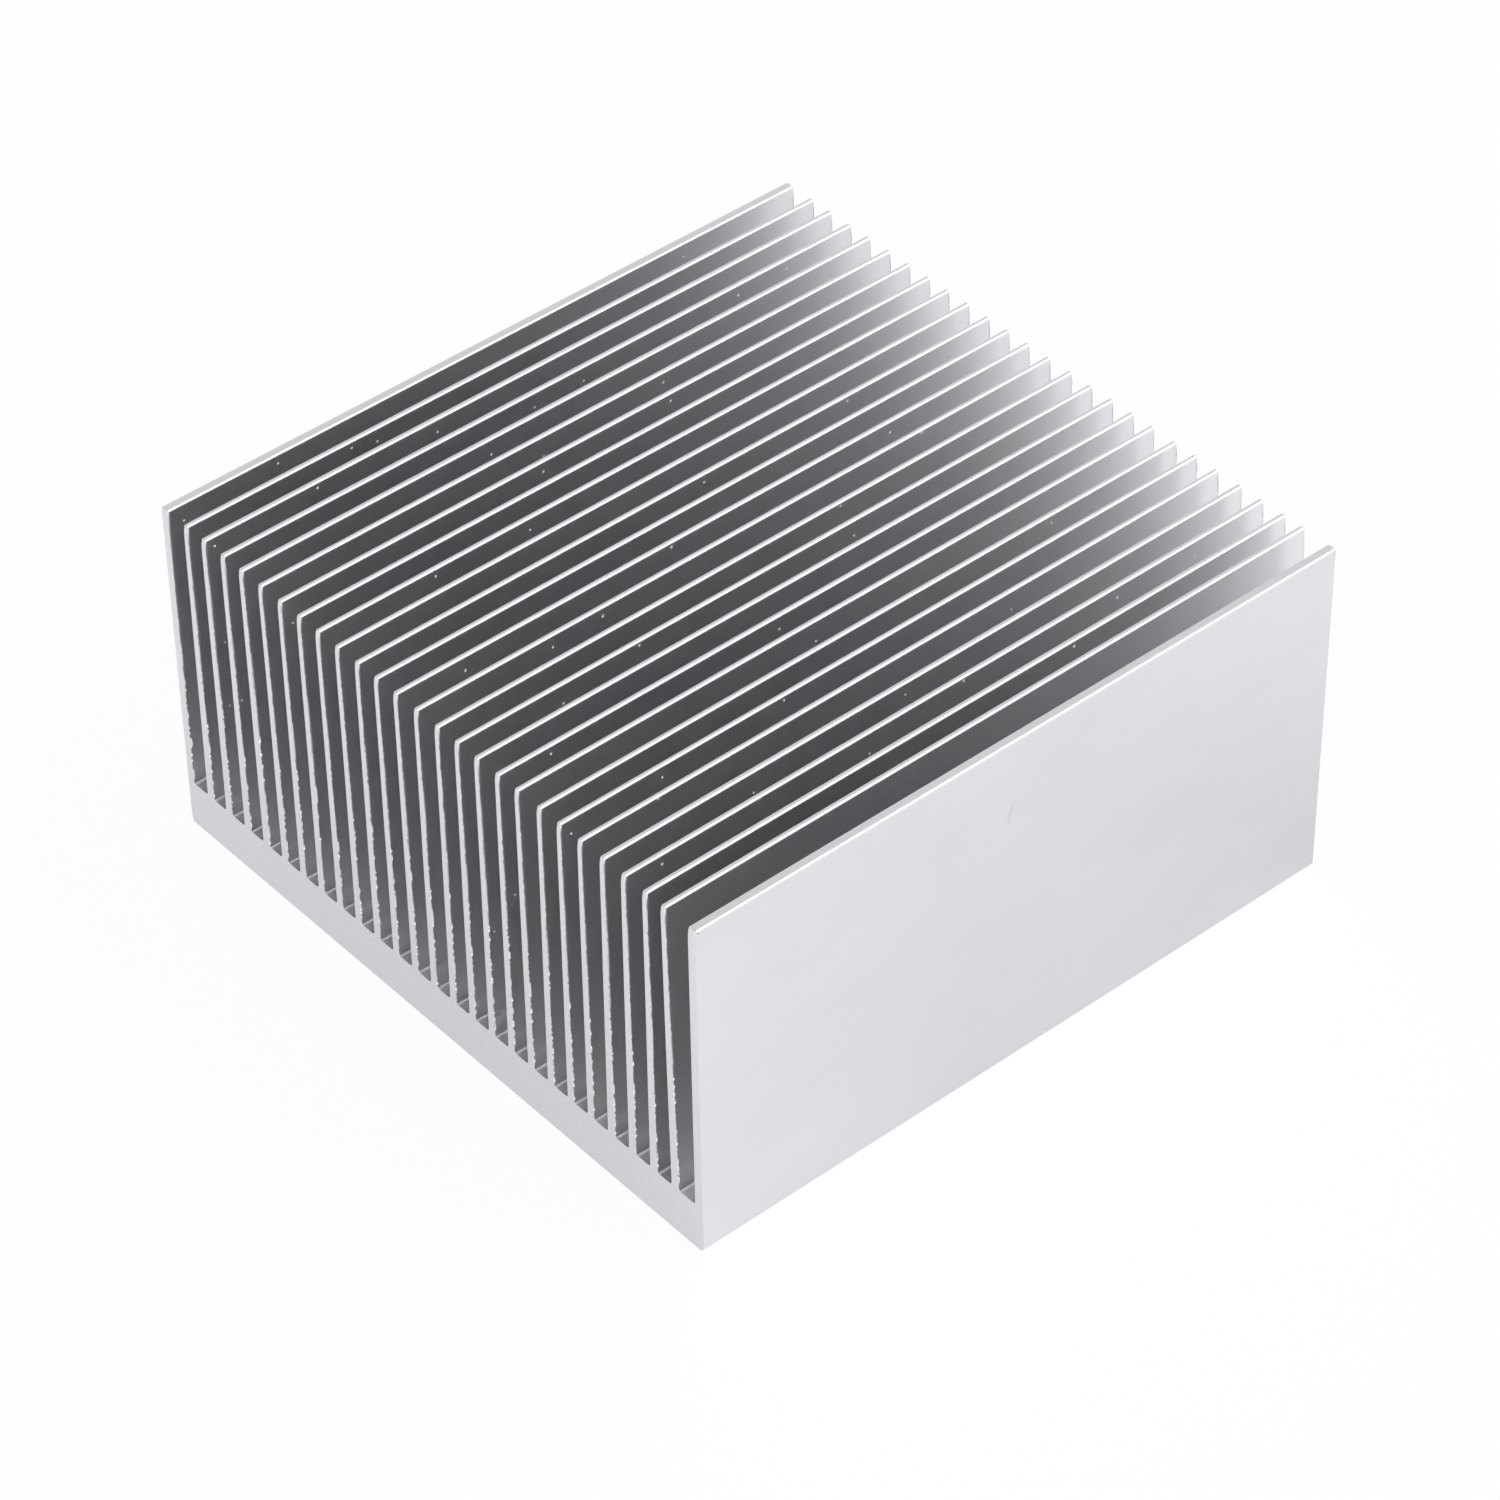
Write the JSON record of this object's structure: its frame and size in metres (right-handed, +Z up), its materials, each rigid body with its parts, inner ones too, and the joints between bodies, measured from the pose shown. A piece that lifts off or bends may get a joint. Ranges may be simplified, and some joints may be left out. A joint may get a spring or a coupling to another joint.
{
  "type": "finned heat sink",
  "caption": "Square extruded aluminium heat sink: a flat base plate with thin straight upright fins between two side walls, open at both ends and along the top.",
  "frame": {"origin": "middle of the underside of the base plate", "axes": "+Z up, square to the base, from the underside to the fin tips; +Y along the channels, from one sawn end to the other; +X across the fins"},
  "size_m": [0.07, 0.07, 0.036],
  "materials": {
    "aluminium": "satin, as extruded, with sawn ends"
  },
  "bodies": {
    "root": {"heat_sink": "aluminium"}
  },
  "joints": []
}
